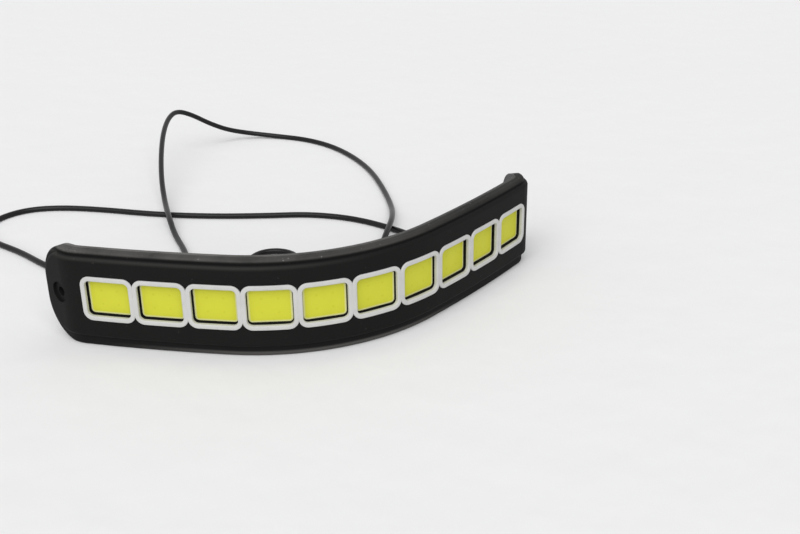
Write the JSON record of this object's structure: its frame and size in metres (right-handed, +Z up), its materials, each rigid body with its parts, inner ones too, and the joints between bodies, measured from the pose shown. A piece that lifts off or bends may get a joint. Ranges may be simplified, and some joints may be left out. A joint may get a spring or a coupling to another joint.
{
  "type": "daytime running light",
  "caption": "Flexible daytime running light: a bent black rubber strip with a white frame around a row of yellow light chips, screw holes in its curled ends and a thin supply cord.",
  "frame": {"origin": "middle of the strip on its lower edge, which stands on the floor", "axes": "+X along the strip at its middle, +Z up, the lit side faces -Y"},
  "size_m": [0.2144, 0.2591, 0.0381],
  "materials": {
    "housing_rubber": "satin moulded rubber",
    "cover_rubber": "smooth moulded rubber",
    "frame_white": "matte",
    "board_dark": "dark mask",
    "phosphor": "soft satin silicone",
    "circuit_film": "satin film",
    "black_mould": "matte",
    "red_insulation": "satin",
    "black_insulation": "satin",
    "sheath": "satin",
    "tinned_wire": "bright"
  },
  "bodies": {
    "root": {"rubber_housing": "housing_rubber", "back_cover": "cover_rubber", "window_frame": "frame_white", "flexible_circuit": "circuit_film", "polarity_diode": "black_mould", "red_lead": "red_insulation", "red_tail": "red_insulation", "black_lead": "black_insulation", "black_tail": "black_insulation", "cable_sheath": "sheath", "red_tinned_tip": "tinned_wire", "black_tinned_tip": "tinned_wire", "led_board_01": "board_dark", "led_board_02": "board_dark", "led_board_03": "board_dark", "led_board_04": "board_dark", "led_board_05": "board_dark", "led_board_06": "board_dark", "led_board_07": "board_dark", "led_board_08": "board_dark", "led_board_09": "board_dark", "led_board_10": "board_dark", "phosphor_01": "phosphor", "phosphor_02": "phosphor", "phosphor_03": "phosphor", "phosphor_04": "phosphor", "phosphor_05": "phosphor", "phosphor_06": "phosphor", "phosphor_07": "phosphor", "phosphor_08": "phosphor", "phosphor_09": "phosphor", "phosphor_10": "phosphor", "series_resistor_01": "black_mould", "series_resistor_02": "black_mould", "series_resistor_03": "black_mould", "series_resistor_04": "black_mould", "series_resistor_05": "black_mould"}
  },
  "joints": []
}
